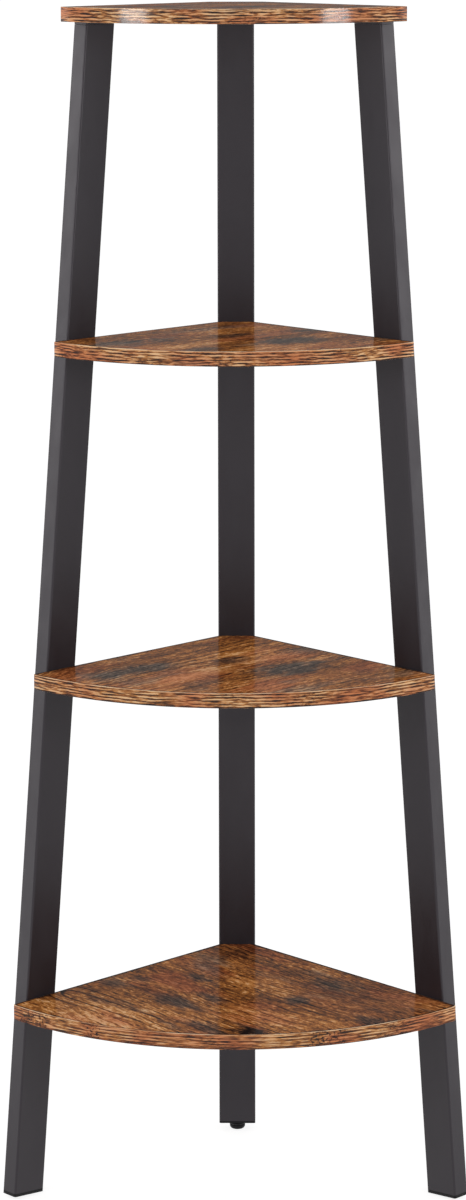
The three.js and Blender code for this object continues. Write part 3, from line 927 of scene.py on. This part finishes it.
MATERIAL_OF_SLOT = {
    "powder_coat": make_powder_coat(),
    "black_plastic": make_black_plastic(),
    "black_steel": make_plated_steel("black_steel", BLACK_STEEL_TONES, BLACK_STEEL_METALLIC),
    "zinc_steel": make_plated_steel("zinc_steel", ZINC_TONES, ZINC_METALLIC),
}
BAND_CORE = make_core_material("band_core", CORE_TONES)
SIDE_CORE = make_core_material("side_band_core", SIDE_CORE_TONES)
STRAIGHT_BAND = make_straight_band_material()


# Boards
def wall_direction(side):
    """Direction in which a wall runs away from the corner."""
    return Vector((-outward(side), -1, 0)).normalized()


def into_room(side):
    """Direction into the room, square to a wall."""
    return Vector((outward(side), -1, 0)).normalized()


def corner_point(board, margin):
    """Corner where a board's two side edges would meet, moved in from both by a margin."""
    return BACK * (CORNER_Y - math.sqrt(2) * (board.inset + margin))


def insert_bore(board, side, radius, depth):
    """Cutter for a bore of some depth where a threaded insert goes in from a leg."""
    if board.is_top:
        across, edge, axis = (along_wall(side, PLATE_BOTTOM), TUBE_DEPTH / 2), board.bottom, "Z"
    else:
        across, edge, axis = (along_wall(side, board.middle), board.middle), board.inset, "Y"
    cutter = drill("bore", radius, edge - OVERRUN, edge + depth, axis, across)
    place(cutter, wall_frame(side))
    return cutter


def build_board(board, material):
    """Round blank, sawn along its two side edges and its back flat, with its tips and rims rounded."""
    margin = BAND + GLUE_LINE
    blank = start_from(
        bpy.ops.mesh.primitive_cylinder_add, board.name + "_board", vertices=4 * ARC_STEPS,
        radius=board.radius - margin, depth=board.height,
        location=board.centre + UP * board.middle,
    )
    place(blank)
    corner = corner_point(board, margin)
    for side in FRONT_SIDES:
        trim(blank, corner, -into_room(side))
    back = board.flat_y - (margin if board.is_top else 0)
    trim(blank, BACK * back, BACK)
    tip_x = max(vertex.co.x for vertex in blank.data.vertices)
    edit(blank)
    choose("edges", lambda edge: runs_up(edge) and abs(edge.verts[0].co.x) > tip_x - OVERRUN)
    bpy.ops.mesh.bevel(offset=TIP_RADIUS - margin, segments=TIP_STEPS, affect="EDGES")
    choose("edges", lambda edge: not runs_up(edge))
    bpy.ops.mesh.bevel(offset=BOARD_ROUNDING, segments=ROUNDING_STEPS, affect="EDGES")
    leave_edit()
    pocket = TOP_POCKET if board.is_top else SHELF_POCKET
    for side in SIDES:
        cut_with(blank, insert_bore(board, side, INSERT_FLANGE_HOLE, INSERT_FLANGE + SEAT_GAP))
        cut_with(blank, insert_bore(board, side, INSERT_HOLE, pocket))
    finish_piece(blank, board.name, "rustic_board", materials=[material])


def finish_band(piece, node, printed=STRAIGHT_BAND, core=SIDE_CORE):
    """Finishes a band with its print on the upright faces and its core on the top and bottom edges."""
    finish_piece(piece, node, "edge_band", materials=[printed, core])
    for face in piece.data.polygons:
        face.material_index = 1 if face.normal.z > CORE_SLOPE or points_down(face) else 0


def build_front_band(board, material):
    """Cross-section of the band, spun around the left tip, the board's centre and the right tip."""
    tip_turn = math.atan2(TIP_RADIUS, board.tip_reach)
    tips = {
        side: board.centre + wall_direction(side) * board.tip_reach + into_room(side) * TIP_RADIUS
        for side in FRONT_SIDES
    }
    start = tips["left"] - into_room("left") * (TIP_RADIUS - BAND / 2) + UP * board.middle
    band = start_from(bpy.ops.mesh.primitive_plane_add, board.name + "_front_band", size=1)
    upright = turn("Z", math.radians(135)) @ turn("X", QUARTER)
    band.matrix_basis = shift(*start) @ upright @ Matrix.Diagonal((BAND, board.height, 1, 1))
    place(band)
    edit(band)
    for centre, angle, steps in (
        (tips["left"], QUARTER + tip_turn, TIP_STEPS),
        (board.centre, QUARTER - 2 * tip_turn, ARC_STEPS),
        (tips["right"], QUARTER + tip_turn, TIP_STEPS),
    ):
        bpy.ops.mesh.spin(steps=steps, angle=angle, center=centre, axis=(0, 0, -1))
    bpy.ops.mesh.select_all(action="SELECT")
    bpy.ops.mesh.remove_doubles(threshold=MERGE)
    close_up()
    round_edges(band, BAND_ROUNDING, ROUNDING_STEPS)
    finish_band(band, board.name + "_front_edge_band", material, BAND_CORE)


def build_straight_band(node, start, end, outside, board, cuts):
    """Strip with its outside on the outline of a board from a start to an end, sawn off at some planes."""
    run = (end - start).normalized()
    strip = start_from(bpy.ops.mesh.primitive_cube_add, node + "_strip", size=1)
    middle = (start + end) / 2 - outside * BAND / 2 + UP * board.middle
    axes = Matrix((run, outside, UP)).transposed().to_4x4()
    size = Matrix.Diagonal(((end - start).length, BAND, board.height, 1))
    strip.matrix_basis = shift(*middle) @ axes @ size
    place(strip)
    edit(strip)
    close_up()
    for point, normal in cuts:
        trim(strip, point, normal)
    round_edges(strip, BAND_ROUNDING, ROUNDING_STEPS)
    return strip


def build_side_band(board, side):
    """Straight band along one side edge, sawn off level with the back flat."""
    node = f"{board.name}_{side}_edge_band"
    start = corner_point(board, 0)
    end = board.centre + wall_direction(side) * (board.tip_reach - BAND_JOINT)
    cuts = [(BACK * board.flat_y, BACK)]
    strip = build_straight_band(node, start, end, -into_room(side), board, cuts)
    if not board.is_top:
        cut_with(strip, insert_bore(board, side, INSERT_FLANGE_HOLE, BAND + OVERRUN))
    finish_band(strip, node)


def build_back_band(board):
    """Straight band along the back flat, its ends cut to run beside the side bands."""
    node = board.name + "_back_edge_band"
    half = CORNER_Y - board.flat_y
    start, end = (Vector((x, board.flat_y, 0)) for x in (-half, half))
    corner = corner_point(board, BAND + BAND_JOINT)
    cuts = [(corner, -into_room(side)) for side in FRONT_SIDES]
    strip = build_straight_band(node, start, end, BACK, board, cuts)
    finish_band(strip, node)


for board in BOARDS:
    build_board(board, make_board_material(board))
    build_front_band(board, make_band_material(board))
    for side in FRONT_SIDES:
        build_side_band(board, side)
    if board.is_top:
        build_back_band(board)


# Legs
def build_tube(side, part, start, end, drilled, level_top):
    """Rounded bar, opened at both ends, given its wall, sawn level at the top and drilled."""
    name = f"{side}_{part}_leg"
    tube = rounded_bar(name + "_tube", TUBE_WIDTH, TUBE_DEPTH, start, end)
    edit(tube)
    choose("faces", lambda face: points_up(face) or points_down(face))
    bpy.ops.mesh.delete(type="ONLY_FACE")
    leave_edit()
    apply_modifier(tube, "SOLIDIFY", thickness=TUBE_WALL, offset=-1, use_even_offset=True)
    for board in drilled:
        height = up_tube(side, board.middle)
        cut_with(tube, drill("hole", BOLT_HOLE, -TUBE_DEPTH, TUBE_DEPTH, "Y", (0, height)))
    if level_top:
        cut_with(tube, level_cutter(side))
        cut_with(tube, key_window_cutter(side))
    finish_piece(tube, name, "powder_coat", tube_frame(side))


def level_cutter(side):
    """Block that takes off what stands above the level top of a leg's tubes."""
    block = start_from(bpy.ops.mesh.primitive_cube_add, "level", size=2 * TUBE_WIDTH)
    middle = shift(along_wall(side, TUBE_TOP), TUBE_DEPTH / 2, TUBE_TOP + TUBE_WIDTH)
    place(block, tube_frame(side).inverted() @ wall_frame(side) @ middle)
    return block


def key_window_cutter(side):
    """Slot with round ends in the wall side, for the hex key of the top bolt."""
    width, length = KEY_WINDOW
    middle = up_tube(side, TUBE_TOP) - KEY_WINDOW_DROP - length / 2
    reach = TUBE_WALL + 2 * OVERRUN
    cutter = rounded_bar("window", width, length, 0, reach, width / 2 * WINDOW_END_SHARE, TIP_STEPS)
    start = shift(0, -TUBE_DEPTH / 2 + TUBE_WALL + OVERRUN, middle)
    place(cutter, start @ turn("X", QUARTER))
    return cutter


def build_top_plate(side):
    node = f"{side}_leg_top_plate"
    width = TUBE_WIDTH / math.cos(leg_line(side)[2])
    plate = rounded_bar(node + "_steel", width, TUBE_DEPTH, PLATE_BOTTOM, PLATE_TOP)
    round_edges(plate, BAND_ROUNDING, ROUNDING_STEPS)
    cut_with(plate, drill("hole", BOLT_HOLE, PLATE_BOTTOM - OVERRUN, PLATE_TOP + OVERRUN, "Z", (0, 0)))
    middle = shift(along_wall(side, PLATE_BOTTOM), TUBE_DEPTH / 2, 0)
    finish_piece(plate, node, "powder_coat", wall_frame(side) @ middle)


def build_end_cap(side):
    """Moulded cap: a flange the size of the tube, with a hollow skirt that grips inside it."""
    node = f"{side}_leg_end_cap"
    cap = rounded_bar(node + "_moulding", TUBE_WIDTH, TUBE_DEPTH, 0, CAP_FLANGE)
    edit(cap)
    choose("faces", points_up)
    bpy.ops.mesh.inset(thickness=TUBE_WALL + CAP_SKIRT_GAP)
    draw_up(CAP_SKIRT)
    bpy.ops.mesh.inset(thickness=CAP_SKIRT_WALL)
    draw_up(-CAP_SKIRT)
    leave_edit()
    round_edges(cap, CAP_ROUNDING, MOULDED_STEPS)
    finish_piece(cap, node, "black_plastic", tube_frame(side))


def build_plug():
    """Moulded plug with a flange under the tube and a plain bore through it for the threaded stem."""
    node = "back_leg_threaded_plug"
    plug = rounded_bar(node + "_moulding", TUBE_WIDTH, TUBE_DEPTH, PLUG_BOTTOM, PLUG_BOTTOM + PLUG_FLANGE)
    edit(plug)
    choose("faces", points_up)
    bpy.ops.mesh.inset(thickness=TUBE_WALL + CAP_SKIRT_GAP)
    draw_up(PLUG_TOP - PLUG_BOTTOM - PLUG_FLANGE)
    leave_edit()
    bore = THREAD_RADIUS + PLUG_CLEARANCE
    start, end = PLUG_BOTTOM - OVERRUN, PLUG_TOP + OVERRUN
    cut_with(plug, drill("bore", bore, start, end, "Z", (0, 0), BORE_SIDES))
    round_edges(plug, CAP_ROUNDING, MOULDED_STEPS)
    finish_piece(plug, node, "black_plastic", tube_frame("back"))


for side in SIDES:
    foot = PLUG_BOTTOM + PLUG_FLANGE if side == "back" else CAP_FLANGE
    seam = up_tube(side, SEAM)
    above = up_tube(side, TUBE_TOP) + TUBE_WIDTH
    build_tube(side, "lower", foot + SEAT_GAP, seam - SEAT_GAP / 2, [BOTTOM_SHELF], False)
    build_tube(side, "upper", seam + SEAT_GAP / 2, above, [MIDDLE_SHELF, UPPER_SHELF], True)
    build_top_plate(side)
    if side != "back":
        build_end_cap(side)
build_plug()


# Bolts, from one model: the seat lies at the origin and the thread points along Z
def build_bolt(name, length):
    profile = [(BOLT_HEAD * radius, BOLT_HEAD_HEIGHT * height) for radius, height in BOLT_HEAD_SHARES]
    point, taper = BOLT_POINT_SHARES
    profile += [(BOLT_SHANK, 0), (BOLT_SHANK, length - BOLT_SHANK * taper), (BOLT_SHANK * point, length)]
    bolt = turned_piece(name, BOLT_SIDES, profile)
    start, end = -2 * BOLT_HEAD_HEIGHT, -BOLT_HEAD_HEIGHT + BOLT_KEY_DEPTH
    cut_with(bolt, drill("socket", BOLT_KEY, start, end, "Z", (0, 0), KEY_SIDES))
    return bolt


shelf_bolt = build_bolt("shelf_bolt", SHELF_BOLT)
top_bolt = build_bolt("top_bolt", TOP_BOLT)
for side in SIDES:
    for board in (BOTTOM_SHELF, MIDDLE_SHELF, UPPER_SHELF):
        node = f"{board.name}_{side}_bolt"
        bolt = copy_piece(shelf_bolt, node + "_screw")
        seat = shift(0, -TUBE_DEPTH / 2, up_tube(side, board.middle))
        finish_piece(bolt, node, "black_steel", tube_frame(side) @ seat @ turn("X", -QUARTER))
    node = f"top_shelf_{side}_bolt"
    bolt = copy_piece(top_bolt, node + "_screw")
    seat = shift(along_wall(side, PLATE_BOTTOM), TUBE_DEPTH / 2, PLATE_BOTTOM)
    finish_piece(bolt, node, "black_steel", wall_frame(side) @ seat)
for spare in (shelf_bolt, top_bolt):
    bpy.data.objects.remove(spare)


# Levelling foot
def build_pad():
    """Glide pad, drawn up from its flat base through its rounded edge, neck, taper and flange."""
    height = PAD_HIGH.z
    flange_bottom = height - PAD_FLANGE
    taper_bottom = flange_bottom - PAD_TAPER
    neck_bottom = taper_bottom - PAD_NECK
    profile = [(PAD_BODY_RADIUS - PAD_EDGE, 0.0)]
    for step in range(1, PAD_EDGE_STEPS + 1):
        angle = QUARTER * step / PAD_EDGE_STEPS
        radius = PAD_BODY_RADIUS - PAD_EDGE * (1 - math.sin(angle))
        profile.append((radius, PAD_EDGE * (1 - math.cos(angle))))
    socket = THREAD_RADIUS + PLUG_CLEARANCE
    rim = PAD_FLANGE / 3
    profile += [
        (PAD_BODY_RADIUS, neck_bottom),
        (PAD_NECK_RADIUS, neck_bottom + rim / 4),
        (PAD_NECK_RADIUS, taper_bottom - rim / 4),
        (PAD_BODY_RADIUS, taper_bottom),
        (PAD_RADIUS - rim / 2, flange_bottom),
        (PAD_RADIUS, flange_bottom + rim),
        (PAD_RADIUS, height - rim),
        (PAD_RADIUS - rim, height),
        (socket, height - rim / 8),
        (socket, height - STEM_SINK),
    ]
    pad = turned_piece("levelling_foot_glide", PAD_SIDES, profile)
    finish_piece(pad, "levelling_foot_pad", "black_plastic", shift(*FOOT_CENTRE), body="foot_pad")


def build_stem():
    """Threaded stem: the profile of one thread, screwed up the stem and sawn off at both ends."""
    low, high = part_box("levelling_foot_stem")
    depth = THREAD_RADIUS - THREAD_ROOT
    turns = math.ceil((high.z - low.z) / THREAD_PITCH) + 2 * THREAD_SPARE_TURNS
    middle = THREAD_ROOT + depth / 2
    start = low.z - THREAD_SPARE_TURNS * THREAD_PITCH
    stem = start_from(
        bpy.ops.mesh.primitive_plane_add, "levelling_foot_thread", size=1, rotation=(QUARTER, 0, 0),
        location=(middle, 0, start),
    )
    stem.scale = (depth, THREAD_PITCH, 1)
    place(stem)
    edit(stem)
    bpy.ops.mesh.delete(type="ONLY_FACE")
    choose("edges", lambda edge: all(vertex.co.x < middle for vertex in edge.verts))
    bpy.ops.mesh.delete(type="EDGE")
    choose("edges", lambda edge: all(vertex.co.x > middle for vertex in edge.verts))
    bpy.ops.transform.resize(value=(1, 1, THREAD_CREST_SHARE), center_override=(middle, 0, start))
    leave_edit()
    apply_modifier(
        stem, "SCREW", axis="Z", angle=4 * QUARTER, screw_offset=THREAD_PITCH, iterations=turns,
        steps=THREAD_STEPS, render_steps=THREAD_STEPS,
        use_merge_vertices=True, merge_threshold=THREAD_MERGE,
    )
    edit(stem)
    bpy.ops.mesh.remove_doubles(threshold=THREAD_MERGE)
    close_up()
    trim(stem, low, -UP)
    trim(stem, high, UP)
    finish_piece(stem, "levelling_foot_stem", "zinc_steel", shift(*FOOT_CENTRE), body="foot_stem")


build_pad()
build_stem()

# Materials of the CAD nodes that stay
SLOT_OF_NODE = {entry["node"]: entry["material_slot"] for entry in frame["record"]["subparts"]}
for node_name, cad_node in frame["nodes"].items():
    material = MATERIAL_OF_SLOT.get(SLOT_OF_NODE[node_name])
    if material:
        cad_node.data.materials.clear()
        cad_node.data.materials.append(material)


# Room
def by_ray(tree, lighting, seen):
    """Mixes a shader that lights the object and one that is seen, straight, mirrored or through glass."""
    path = add_node(tree, "LightPath", {})
    rays = [Value(path.outputs[f"Is {kind} Ray"]) for kind in ("Camera", "Glossy", "Transmission")]
    share = rays[0].work("MAXIMUM", rays[1].work("MAXIMUM", rays[2]))
    return output_of(tree, "MixShader", {0: share, 1: lighting, 2: seen})


def make_floor():
    """Pale floor that is white to the eye and in reflections, and still takes the soft shadow."""
    plane = bpy.ops.mesh.primitive_plane_add
    floor = start_from(plane, "floor", size=FLOOR_SIZE, location=(0, 0, -FLOOR_DROP))
    material = bpy.data.materials.new("pale_floor")
    material.use_nodes = True
    tree = material.node_tree
    tree.nodes.clear()
    plain = output_of(tree, "BsdfDiffuse", {"Color": FLOOR_TONE})
    glow = output_of(tree, "Emission", {"Color": WHITE, "Strength": FLOOR_GLOW})
    soft = output_of(tree, "BsdfDiffuse", {"Color": SHADOW_TONE})
    lit = output_of(tree, "AddShader", {0: glow, 1: soft})
    add_node(tree, "OutputMaterial", {"Surface": by_ray(tree, plain, lit)})
    floor.data.materials.append(material)


def make_world():
    """White surroundings to the eye and in reflections, and a plain soft light on the object."""
    world = bpy.data.worlds.new("studio")
    bpy.context.scene.world = world
    world.use_nodes = True
    tree = world.node_tree
    tree.nodes.clear()
    plain = output_of(tree, "Background", {"Color": WHITE, "Strength": AMBIENT})
    white = output_of(tree, "Background", {"Color": WHITE, "Strength": 1.0})
    add_node(tree, "OutputWorld", {"Surface": by_ray(tree, plain, white)})


def hold(name, thing, spot, axes):
    """Puts a lamp or camera in the scene at a spot, turned as its axes say."""
    holder = bpy.data.objects.new(name, thing)
    bpy.context.scene.collection.objects.link(holder)
    holder.location = spot
    holder.rotation_euler = axes.to_euler()
    return holder


def add_softbox(name, low, high, aim, width, radiance, opening=math.pi):
    """Area lamp of an even brightness from a low to a high end, turned towards a point."""
    upright = (high - low).normalized()
    sideways = upright.cross((low + high) / 2 - aim).normalized()
    lamp = bpy.data.lights.new(name, "AREA")
    lamp.shape = "RECTANGLE"
    lamp.size = width
    lamp.size_y = (high - low).length
    lamp.spread = opening
    lamp.energy = radiance * math.pi * lamp.size * lamp.size_y
    axes = Matrix((sideways, upright, sideways.cross(upright))).transposed()
    hold(name, lamp, (low + high) / 2, axes).visible_camera = False


make_floor()
make_world()
for mirrored in (Vector((-1, 1, 1)), Vector((1, 1, 1))):
    add_softbox("key", KEY_LOW * mirrored, KEY_HIGH * mirrored, KEY_AIM, KEY_WIDTH, KEY_RADIANCE)
    low, high = STRIP_LOW * mirrored, STRIP_HIGH * mirrored
    add_softbox("strip", low, high, STRIP_AIM, STRIP_WIDTH, STRIP_RADIANCE, STRIP_OPENING)


def add_camera():
    camera = bpy.data.cameras.new("photo_view")
    camera.sensor_width = SENSOR
    camera.lens = FOCAL_PX * SENSOR / PICTURE_HEIGHT_PX
    camera.shift_x = (PICTURE_CENTRE_PX[0] - AXIS_PX[0]) / PICTURE_HEIGHT_PX
    camera.shift_y = (AXIS_PX[1] - PICTURE_CENTRE_PX[1]) / PICTURE_HEIGHT_PX
    axes = turn("Z", CAMERA_TURN) @ turn("X", QUARTER - CAMERA_PITCH) @ turn("Z", CAMERA_ROLL)
    spot = BACK * CORNER_Y + CAMERA_PLACE
    bpy.context.scene.camera = hold("photo_view", camera, spot, axes)


add_camera()
bpy.context.scene.view_settings.view_transform = "Standard"
